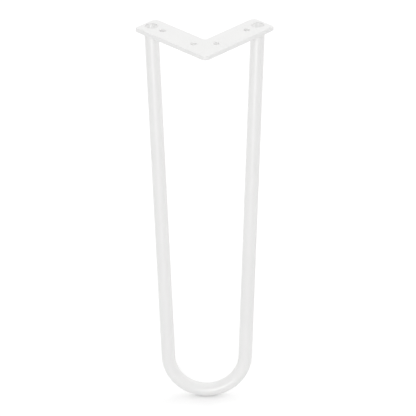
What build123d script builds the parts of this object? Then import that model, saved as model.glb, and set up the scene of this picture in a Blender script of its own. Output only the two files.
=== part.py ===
from build123d import *
import os
from math import acos, atan2, cos, hypot, radians, sin, sqrt

# Two-rod hairpin leg for a table or a bench: one round steel bar, bent into a narrow U, is
# plug-welded under a V-shaped mounting plate. Lengths are in millimetres, angles in degrees.
# The origin is on the mounting face, where the centre lines of the plate's two arms cross.
# +Z points up into the table top, and -Y towards the plate's outer corner, the way the foot leans.

# Hairpin bar
leg_height = 350.0  # mounting face to floor
bar_diameter = 12.0
rod_spacing = 90.0  # between the two rods' centres, under the plate
bend_radius = 34.0  # of the bar's centre line, round the foot
lean_angle = 5.0  # of the hairpin's plane from upright

# Mounting plate
plate_thickness = 4.0
arm_width = 24.0
corner_angle = 90.0  # between the two arms
end_margin = 1.4  # plate beyond the rod at the end of each arm
outer_corner_radius = 5.0
inner_corner_radius = 2.5
outer_end_radius = 1.2  # at an arm's end, on the outer side of the V
inner_end_radius = 5.0  # at an arm's end, on the inner side of the V
edge_radius = 0.5  # along the cut outline, top and bottom

# Screw holes, two in each arm
screw_hole_diameter = 5.0
inner_screw_reach = 13.5  # from the crossing of the centre lines
screw_to_rod = 13.6  # from the outer screw to the rod's centre
hole_chamfer = 0.3  # at the open mouths of the holes

# Plug welds
weld_ledge = 0.65  # ring of the bar's end that bears on the plate round the plug hole
weld_recess = 0.4  # from the mounting face down to the weld's crown
weld_rise = 0.9  # from the weld's rim up to its crown
weld_bead = 0.8  # width of the bead's crest, left between the two hollows
weld_hollow_depth = 2.0  # from the crown down to a hollow's lowest point
weld_hollow_radius = 4.0  # of the ball whose shape a hollow has

# What follows from the sizes above
bar_radius = bar_diameter / 2
plug_radius = bar_radius - weld_ledge
half_corner = radians(corner_angle / 2)
rod_reach = rod_spacing / 2 / sin(half_corner)
outer_screw_reach = rod_reach - screw_to_rod
arm_reach = rod_reach + bar_radius + end_margin
left, right = -1, 1


def on_arm(side, reach, inset=0.0):
    """Point at a reach along an arm's centre line, and an inset from it towards the inside of the V."""
    return Vector(
        side * (reach * sin(half_corner) - inset * cos(half_corner)),
        reach * cos(half_corner) + inset * sin(half_corner),
    )


def drill(plate, centres, radius):
    """Edges of round holes drilled through the plate, in groups from its underside up."""
    bore = Cylinder(radius, plate_thickness, align=(Align.CENTER, Align.CENTER, Align.MAX))
    drilled = plate - [Pos(centre) * bore for centre in centres]
    return new_edges(plate, combined=drilled).group_by(Axis.Z)


def make_plate():
    """V of flat steel with rounded corners, softened edges, four screw holes and two plug holes."""
    half_width = arm_width / 2
    inner_corner = Vector(0, half_width / sin(half_corner))
    outline = FilletPolyline(
        -inner_corner,
        on_arm(right, arm_reach, -half_width),
        on_arm(right, arm_reach, half_width),
        inner_corner,
        on_arm(left, arm_reach, half_width),
        on_arm(left, arm_reach, -half_width),
        radius=[
            outer_corner_radius,
            outer_end_radius,
            inner_end_radius,
            inner_corner_radius,
            inner_end_radius,
            outer_end_radius,
        ],
        close=True,
    )
    plate = extrude(make_face(outline), amount=plate_thickness, dir=(0, 0, -1))
    underside, *_, mounting_face = plate.faces().sort_by(Axis.Z)
    plate = fillet(underside.edges() + mounting_face.edges(), edge_radius)

    reaches = (inner_screw_reach, outer_screw_reach)
    screws = [on_arm(side, reach) for side in (left, right) for reach in reaches]
    mouths = drill(plate, screws, screw_hole_diameter / 2)
    plate = chamfer(mouths[0] + mouths[-1], hole_chamfer)

    plugs = [on_arm(side, rod_reach) for side in (left, right)]
    mouths = drill(plate, plugs, plug_radius)
    return chamfer(mouths[-1], hole_chamfer)


def make_hairpin():
    """Bar bent down one rod, round the foot and up the other, with its ends cut flush to the plate."""
    lean = radians(lean_angle)
    half_spacing = rod_spacing / 2
    foot_depth = (leg_height - plate_thickness - bar_radius) / cos(lean)
    bend_depth = foot_depth - bend_radius
    taper = acos(bend_radius / hypot(half_spacing, bend_depth)) - atan2(bend_depth, half_spacing)

    rod_row = on_arm(right, rod_reach).Y
    hairpin_plane = Plane(
        origin=(0, rod_row, -plate_thickness),
        x_dir=(1, 0, 0),
        z_dir=(0, -cos(lean), sin(lean)),
    )
    overlength = bar_diameter
    ends = [
        (side * (half_spacing + overlength * sin(taper)), overlength * cos(taper))
        for side in (left, right)
    ]
    tangents = [
        (side * bend_radius * cos(taper), -bend_depth - bend_radius * sin(taper))
        for side in (left, right)
    ]
    path = hairpin_plane * Wire(
        [
            Line(ends[0], tangents[0]),
            ThreePointArc(tangents[0], (0, -foot_depth), tangents[1]),
            Line(tangents[1], ends[1]),
        ]
    )
    bar = sweep(Plane(origin=path @ 0, z_dir=path % 0) * Circle(bar_radius), path=path)
    return split(bar, Plane.XY.offset(-plate_thickness), keep=Keep.BOTTOM)


def make_plug_weld(side):
    """Puddle of weld on the bar's end: a dome with a round hollow on each side of a bead."""
    crown = plate_thickness - weld_recess
    rim = crown - weld_rise
    profile = make_face(
        [
            Line((0, crown), (0, 0)),
            Line((0, 0), (plug_radius, 0)),
            Line((plug_radius, 0), (plug_radius, rim)),
            TangentArc((0, crown), (plug_radius, rim), tangent=(1, 0)),
        ]
    )
    dome = revolve(Plane.XZ * profile, axis=Axis.Z)

    hollow_centre = crown - weld_hollow_depth + weld_hollow_radius
    hollow_half_width = sqrt(weld_hollow_radius**2 - (weld_hollow_radius - weld_hollow_depth) ** 2)
    hollow_reach = weld_bead / 2 + hollow_half_width
    scoop = Sphere(weld_hollow_radius)
    puddle = dome - [Pos(end * hollow_reach, 0, hollow_centre) * scoop for end in (left, right)]
    return Pos(on_arm(side, rod_reach)) * Pos(0, 0, -plate_thickness) * puddle


pieces = {
    "mounting_plate": make_plate(),
    "hairpin_rod": make_hairpin(),
    "left_plug_weld": make_plug_weld(left),
    "right_plug_weld": make_plug_weld(right),
}

os.makedirs("parts", exist_ok=True)
for name, piece in pieces.items():
    export_step(piece, f"parts/{name}.step")
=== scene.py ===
from math import acos, atan2, cos, hypot, pi, radians, sin

import bpy
import numpy as np
from mathutils import Matrix, Vector
from mathutils.geometry import tessellate_polygon


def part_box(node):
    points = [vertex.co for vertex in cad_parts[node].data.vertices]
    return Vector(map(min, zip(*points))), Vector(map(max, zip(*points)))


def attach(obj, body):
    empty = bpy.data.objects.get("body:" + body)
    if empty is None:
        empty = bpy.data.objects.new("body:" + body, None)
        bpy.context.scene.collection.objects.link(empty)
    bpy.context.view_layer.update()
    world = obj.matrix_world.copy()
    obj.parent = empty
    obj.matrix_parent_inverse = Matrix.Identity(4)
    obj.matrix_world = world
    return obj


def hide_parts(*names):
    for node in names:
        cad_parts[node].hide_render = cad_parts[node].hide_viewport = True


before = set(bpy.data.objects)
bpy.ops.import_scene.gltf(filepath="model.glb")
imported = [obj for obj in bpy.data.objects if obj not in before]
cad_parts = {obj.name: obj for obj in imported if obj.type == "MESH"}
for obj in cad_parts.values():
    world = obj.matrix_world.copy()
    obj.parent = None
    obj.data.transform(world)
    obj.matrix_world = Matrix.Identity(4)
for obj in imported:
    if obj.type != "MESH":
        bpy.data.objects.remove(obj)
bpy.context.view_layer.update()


# Mounting plate
# A V of 4 mm steel sheet, cut to outline with rounded corners and drilled for four wood screws and
# two plug welds. The whole leg is powder-coated white after welding, which rounds every cut edge.

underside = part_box("mounting_plate")[0].z
mounting_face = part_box("mounting_plate")[1].z
left_side, right_side = -1, 1
arm_half_width = 0.012
rod_half_spacing = 0.045
rod_row = rod_half_spacing  # as far back as to the side, along arms at 45 degrees
rod_reach = rod_half_spacing * 2**0.5
rod_to_arm_end = 0.0074
inner_screw_reach = 0.0135
screw_to_rod = 0.0136
screw_radius = 0.0025
plug_radius = 0.00535
coat_round = 0.0006
mouth_round = 0.0006


def on_arm(side, reach, inset=0.0):
    """Point at a reach along an arm's centre line, inset from it towards the inside of the V."""
    return np.array([side * (reach - inset), reach + inset]) / 2**0.5


def rounded_outline(corners, radii, steps):
    """Points round a closed outline, and the unit normals that point into the sheet.

    At each corner the path turns through the angle between its two sides, evenly along an arc that
    starts where a circle of that corner's radius touches the side before it.
    """
    before = corners - np.roll(corners, 1, axis=0)
    before /= np.linalg.norm(before, axis=1, keepdims=True)
    after = np.roll(before, -1, axis=0)
    turn = np.arctan2(
        before[:, 0] * after[:, 1] - before[:, 1] * after[:, 0], (before * after).sum(axis=1)
    )
    start = corners - before * (radii * np.tan(np.abs(turn) / 2))[:, None]
    heading = np.arctan2(before[:, 1], before[:, 0])
    leftward = heading[:, None] + pi / 2 + turn[:, None] * np.linspace(0, 1, steps)
    inward = np.stack([np.cos(leftward), np.sin(leftward)], axis=-1)
    swing = (np.sign(turn) * radii)[:, None, None]
    points = start[:, None] + swing * (inward[:, :1] - inward)
    return points.reshape(-1, 2), inward.reshape(-1, 2)


def drilled_outline(centre, radius, steps):
    """Points round a hole, clockwise, and the unit normals that point into the sheet."""
    angle = -np.linspace(0, 2 * pi, steps, endpoint=False)
    inward = np.stack([np.cos(angle), np.sin(angle)], axis=-1)
    return centre + radius * inward, inward


def edge_band(outline, inward, rounding, land):
    """Grid down a cut edge: a flat land, a quarter round, the straight cut, a quarter round, a land."""
    round_steps = 9
    sweep = np.linspace(0, pi / 2, round_steps)
    inset = np.concatenate([[rounding + land], rounding * (1 - np.sin(sweep))])
    drop = np.concatenate([[0], rounding * (1 - np.cos(sweep))])
    inset = np.concatenate([inset, inset[::-1]])
    height = np.concatenate([mounting_face - drop, underside + drop[::-1]])
    flat = outline + inset[:, None, None] * inward
    return np.dstack([flat, np.broadcast_to(height[:, None], flat.shape[:2])])


def grid_quads(rows, columns, first=0):
    """Faces of a grid of points, numbered row by row, that closes on itself across."""
    index = first + np.arange(rows * columns).reshape(rows, columns)
    beside = np.roll(index, -1, axis=1)
    return np.stack([index[:-1], index[1:], beside[1:], beside[:-1]], axis=-1).reshape(-1, 4)


def new_piece(name, points, faces, material, node):
    """Smooth object that rides on the leg in place of a CAD node, which it hides."""
    mesh = bpy.data.meshes.new(name)
    mesh.from_pydata(points, [], faces)
    mesh.polygons.foreach_set("use_smooth", np.ones(len(faces), bool))
    mesh.materials.append(material)
    piece = bpy.data.objects.new(name, mesh)
    bpy.context.scene.collection.objects.link(piece)
    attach(piece, "root")
    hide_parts(node)


def plate_mesh():
    """Points and faces of the plate: a band down each cut edge, and the two faces filled between."""
    tip = arm_half_width * 2**0.5
    arm_reach = rod_reach + rod_to_arm_end
    corners = np.array(
        [
            (0, -tip),
            on_arm(right_side, arm_reach, -arm_half_width),
            on_arm(right_side, arm_reach, arm_half_width),
            (0, tip),
            on_arm(left_side, arm_reach, arm_half_width),
            on_arm(left_side, arm_reach, -arm_half_width),
        ]
    )
    outer_corner, outer_end, inner_end, inner_corner = 0.005, 0.0012, 0.005, 0.0025
    radii = np.array([outer_corner, outer_end, inner_end, inner_corner, inner_end, outer_end])
    corner_steps, screw_steps, plug_steps = 24, 64, 96
    land = 0.0002
    bands = [edge_band(*rounded_outline(corners, radii, corner_steps), coat_round, land)]
    for side in (left_side, right_side):
        for reach in (inner_screw_reach, rod_reach - screw_to_rod):
            hole = drilled_outline(on_arm(side, reach), screw_radius, screw_steps)
            bands.append(edge_band(*hole, mouth_round, land))
        plug = drilled_outline(on_arm(side, rod_reach), plug_radius, plug_steps)
        bands.append(edge_band(*plug, mouth_round, land))

    firsts = np.cumsum([0] + [band.shape[0] * band.shape[1] for band in bands])
    faces = [grid_quads(*band.shape[:2], first) for band, first in zip(bands, firsts)]
    faces = np.concatenate(faces).tolist()
    for row, upward in ((0, True), (-1, False)):
        rings = [band[row] for band in bands]
        numbers = np.concatenate(
            [
                first + (row % band.shape[0]) * band.shape[1] + np.arange(band.shape[1])
                for band, first in zip(bands, firsts)
            ]
        )
        triangles = np.array(tessellate_polygon([ring.tolist() for ring in rings]))
        a, b, c = np.moveaxis(np.concatenate(rings)[triangles][..., :2], 1, 0)
        area = (b - a)[:, 0] * (c - a)[:, 1] - (b - a)[:, 1] * (c - a)[:, 0]
        wrong = (area > 0) != upward
        triangles[wrong] = triangles[wrong][:, ::-1]
        faces += numbers[triangles].tolist()
    return np.concatenate([band.reshape(-1, 3) for band in bands]), faces


def powder_coat(name, pale, deep, peel_height, grain_height):
    """White powder coat: faint cloudiness in colour and gloss, orange peel and a fine grain in relief.

    The cloud is broad noise that takes the colour from deep to pale and the roughness from dull to
    glossy. The relief is two sizes of noise, each as tall as given in metres, added before one Bump.
    """
    cloud_size, peel_size, grain_size = 0.030, 0.0016, 0.00045
    noise_low, noise_high = 0.3, 0.7
    dull, glossy = 0.36, 0.28
    coat_ior = 1.55
    material = bpy.data.materials.new(name)
    material.use_nodes = True
    nodes, links = material.node_tree.nodes, material.node_tree.links
    shader = nodes["Principled BSDF"]
    shader.inputs["IOR"].default_value = coat_ior
    place = nodes.new("ShaderNodeTexCoord").outputs["Object"]

    def noise(size, detail):
        field = nodes.new("ShaderNodeTexNoise")
        field.inputs["Scale"].default_value = 1 / size
        field.inputs["Detail"].default_value = detail
        links.new(place, field.inputs["Vector"])
        return field.outputs["Fac"]

    def spread(field, low, high):
        ranged = nodes.new("ShaderNodeMapRange")
        ranged.inputs["From Min"].default_value = noise_low
        ranged.inputs["From Max"].default_value = noise_high
        ranged.inputs["To Min"].default_value = low
        ranged.inputs["To Max"].default_value = high
        links.new(field, ranged.inputs["Value"])
        return ranged.outputs["Result"]

    cloud = noise(cloud_size, detail=3)
    tint = nodes.new("ShaderNodeMix")
    tint.data_type = "RGBA"
    tint.inputs["A"].default_value = (*deep, 1)
    tint.inputs["B"].default_value = (*pale, 1)
    links.new(spread(cloud, 0, 1), tint.inputs["Factor"])
    links.new(tint.outputs["Result"], shader.inputs["Base Color"])
    links.new(spread(cloud, dull, glossy), shader.inputs["Roughness"])

    relief = nodes.new("ShaderNodeMath")
    relief.operation = "ADD"
    links.new(spread(noise(peel_size, detail=1), 0, peel_height), relief.inputs[0])
    links.new(spread(noise(grain_size, detail=2), 0, grain_height), relief.inputs[1])
    bump = nodes.new("ShaderNodeBump")
    bump.inputs["Distance"].default_value = 1.0
    links.new(relief.outputs["Value"], bump.inputs["Height"])
    links.new(bump.outputs["Normal"], shader.inputs["Normal"])
    return material


coat_white = (0.846, 0.844, 0.838)
coat_shade = (0.826, 0.824, 0.819)
plate_coat = powder_coat(
    "plate_coat", coat_white, coat_shade, peel_height=20e-6, grain_height=12e-6
)
new_piece("coated_plate", *plate_mesh(), plate_coat, "mounting_plate")


# Hairpin rod
# One length of 12 mm round bar, cold-bent round a former into a narrow U and coated with the plate.
# Its two ends are sawn at an angle to sit flat under the plate, where plug welds hold them.

floor_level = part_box("hairpin_rod")[0].z
bar_radius = 0.006
bend_radius = 0.034
lean = radians(5)


def capped_quads(rows, around):
    """Faces of a closed tube: a grid of points and a flat cap over its first and its last row."""
    first_cap = list(range(around))
    last_cap = list(range(rows * around - 1, (rows - 1) * around - 1, -1))
    return grid_quads(rows, around).tolist() + [first_cap, last_cap]


def hairpin_mesh(around, along_rod, along_bend):
    """Points and faces of the bar's skin, on a grid of stations along it by angles around it.

    Round the foot, each station is a circle about a point of the bend's arc, which spans half a turn
    less twice the taper. From there each rod runs straight on at the taper, and its stations are
    sheared along it so that the last one lies in the plate's underside.
    """
    foot_depth = (underside - floor_level - bar_radius) / cos(lean)
    bend_depth = foot_depth - bend_radius
    bend_to_rod = hypot(rod_half_spacing, bend_depth)
    taper = acos(bend_radius / bend_to_rod) - atan2(bend_depth, rod_half_spacing)
    across = np.array([1, 0, 0])
    upward = np.array([0, sin(lean), cos(lean)])
    outward = np.array([0, -cos(lean), sin(lean)])
    middle = np.array([0, rod_row, underside])

    turn = np.linspace(taper, pi - taper, along_bend)[:, None]
    angle = np.linspace(0, 2 * pi, around, endpoint=False)
    reach = bend_radius + bar_radius * np.cos(angle)
    bend = (
        middle
        - (reach * np.cos(turn))[..., None] * across
        - (bend_depth + reach * np.sin(turn))[..., None] * upward
        + (bar_radius * np.sin(angle))[:, None] * outward
    )

    def rod(start, side):
        climb = cos(taper) * upward + side * sin(taper) * across
        length = (underside - start[:, 2]) / climb[2]
        share = np.linspace(1, 0, along_rod, endpoint=False)
        return start + (share[:, None] * length)[..., None] * climb

    left_rod, right_rod = rod(bend[0], left_side), rod(bend[-1], right_side)
    grid = np.concatenate([left_rod, bend, right_rod[::-1]])
    return grid.reshape(-1, 3), capped_quads(len(grid), around)


rod_coat = powder_coat("rod_coat", coat_white, coat_shade, peel_height=16e-6, grain_height=10e-6)
hairpin_skin = hairpin_mesh(around=72, along_rod=120, along_bend=160)
new_piece("coated_hairpin", *hairpin_skin, rod_coat, "hairpin_rod")


# Plug welds
# Weld metal run into the hole over each end of the bar, until it fuses bar and plate together. It is
# left as it cooled, a bead from front to back with a hollow each side; its coat is painted darker, as
# shade in the hole.

def puddle_mesh(side, ridge, nub_height, around=128, out=56):
    """Points and faces of one puddle, on a grid of rings from its middle out to the hole's wall.

    Its height is a bell-shaped bead across a flat valley, with ripples that curve over the bead and a
    round nub of spatter beside it. Near the wall this blends into a rim, higher where the bead ends.
    """
    crown, valley, bead_width = 0.0036, 0.0010, 0.0022
    bead_end, rim, rim_width = 0.0034, 0.0028, 0.0020
    ripple, ripple_length, ripple_curve = 0.00005, 0.0012, 120.0
    nub_across, nub_back, nub_width = 0.0029, 0.0010, 0.0009
    middle_share = 0.02
    share = np.linspace(middle_share, 1, out)[:, None]
    angle = np.linspace(0, 2 * pi, around, endpoint=False)
    x = plug_radius * share * np.cos(angle)
    y = plug_radius * share * np.sin(angle)
    bead = np.exp(-(((x - ridge) / bead_width) ** 2))
    ripples = np.cos(2 * pi * (y + ripple_curve * (x - ridge) ** 2) / ripple_length)
    nub = np.exp(-((x - nub_across) ** 2 + (y - nub_back) ** 2) / nub_width**2)
    wall = np.exp(-((plug_radius * (1 - share) / rim_width) ** 2))
    inside = valley + (crown - valley + ripple * ripples) * bead + nub_height * nub
    height = inside * (1 - wall) + (rim + (bead_end - rim) * bead) * wall
    centre = on_arm(side, rod_reach)
    top = np.stack([centre[0] + x, centre[1] + y, underside + height], axis=-1)
    foot = top[-1:].copy()
    foot[..., 2] = underside
    grid = np.concatenate([top, foot])
    return grid.reshape(-1, 3), capped_quads(len(grid), around)


# Darker whites for the weld's coat than the plate's: painted shade down in the plug hole.
painted_shade_white = (0.815, 0.813, 0.807)
painted_shade_deep = (0.785, 0.783, 0.778)
weld_coat_painted_shade = powder_coat("weld_coat_painted_shade", painted_shade_white, painted_shade_deep, peel_height=25e-6, grain_height=12e-6)
left_puddle = puddle_mesh(left_side, ridge=-0.0008, nub_height=0.0008)
right_puddle = puddle_mesh(right_side, ridge=0.0002, nub_height=0.0)
new_piece("left_weld_puddle", *left_puddle, weld_coat_painted_shade, "left_plug_weld")
new_piece("right_weld_puddle", *right_puddle, weld_coat_painted_shade, "right_plug_weld")


# Floor, light and camera
# A plain white floor, even light all round and soft lamps that the coat does not mirror. One more,
# low in front, is only mirrored, as light strips on the bar. The camera stands where the photo's did.

def seen_white(tree, socket, unseen, seen):
    """Sets a strength to one value for the light cast on things, and another for what is seen."""
    path = tree.nodes.new("ShaderNodeLightPath")
    sight = path.outputs["Is Camera Ray"]
    for ray in ("Is Glossy Ray", "Is Transmission Ray"):
        either = tree.nodes.new("ShaderNodeMath")
        either.operation = "MAXIMUM"
        tree.links.new(sight, either.inputs[0])
        tree.links.new(path.outputs[ray], either.inputs[1])
        sight = either.outputs["Value"]
    strength = tree.nodes.new("ShaderNodeMapRange")
    strength.inputs["To Min"].default_value = unseen
    strength.inputs["To Max"].default_value = seen
    tree.links.new(sight, strength.inputs["Value"])
    tree.links.new(strength.outputs["Result"], socket)


floor_half = 15.0
paper_white = (0.92, 0.92, 0.92, 1)
paper_roughness = 0.9
paper_seen = 0.13
pure_white = (1, 1, 1, 1)
floor_mesh = bpy.data.meshes.new("floor")
floor_corners = np.array([(-1, -1, 0), (1, -1, 0), (1, 1, 0), (-1, 1, 0)]) * floor_half
floor_mesh.from_pydata(floor_corners + (0, 0, floor_level), [], [(0, 1, 2, 3)])
floor = bpy.data.objects.new("floor", floor_mesh)
bpy.context.scene.collection.objects.link(floor)
paper = bpy.data.materials.new("white_paper")
paper.use_nodes = True
paper_shader = paper.node_tree.nodes["Principled BSDF"]
paper_shader.inputs["Base Color"].default_value = paper_white
paper_shader.inputs["Roughness"].default_value = paper_roughness
paper_shader.inputs["Emission Color"].default_value = pure_white
seen_white(
    paper.node_tree, paper_shader.inputs["Emission Strength"], unseen=0.0, seen=paper_seen
)
floor_mesh.materials.append(paper)

surround_light = 0.67
surround_seen = 1.0
world = bpy.data.worlds.new("studio")
bpy.context.scene.world = world
world.use_nodes = True
surround = world.node_tree.nodes["Background"]
surround.inputs["Color"].default_value = pure_white
seen_white(
    world.node_tree, surround.inputs["Strength"], unseen=surround_light, seen=surround_seen
)

softboxes = {
    "front_softbox": ((-0.2, -2.2, 0.9), 0.8, 12.7, True),
    "overhead_softbox": ((0.0, 0.0, 1.2), 1.0, 2.7, True),
    "back_softbox": ((0.0, 1.2, 0.8), 1.0, 1.9, True),
    "left_softbox": ((-1.2, 0.8, 0.5), 0.8, 2.4, True),
    "right_softbox": ((1.2, 0.8, 0.5), 0.8, 4.1, True),
    "low_glint": ((-0.2, -1.2, -0.15), 0.4, 4.8, False),
}
leg_middle = Vector((0, 0.03, -0.1))
for name, (place, size, watts, fills) in softboxes.items():
    lamp_data = bpy.data.lights.new(name, "AREA")
    lamp_data.size = size
    lamp_data.energy = watts
    lamp = bpy.data.objects.new(name, lamp_data)
    lamp.location = place
    lamp.rotation_euler = (leg_middle - lamp.location).to_track_quat("-Z", "Y").to_euler()
    lamp.visible_camera = False
    lamp.visible_diffuse = fills
    lamp.visible_glossy = not fills
    bpy.context.scene.collection.objects.link(lamp)

photo_width = 416
focal_pixels = 3157
camera_data = bpy.data.cameras.new("camera")
camera_data.lens = focal_pixels / photo_width * camera_data.sensor_width
camera = bpy.data.objects.new("camera", camera_data)
camera.location = (-0.0195, -2.3681, 1.1518)
camera_pitch, camera_yaw, camera_roll = radians(28.83), radians(0.51), radians(-0.33)
camera.rotation_euler = (
    Matrix.Rotation(-camera_yaw, 3, "Z")
    @ Matrix.Rotation(pi / 2 - camera_pitch, 3, "X")
    @ Matrix.Rotation(camera_roll, 3, "Z")
).to_euler()
bpy.context.scene.collection.objects.link(camera)
bpy.context.scene.camera = camera
bpy.context.scene.view_settings.view_transform = "Standard"
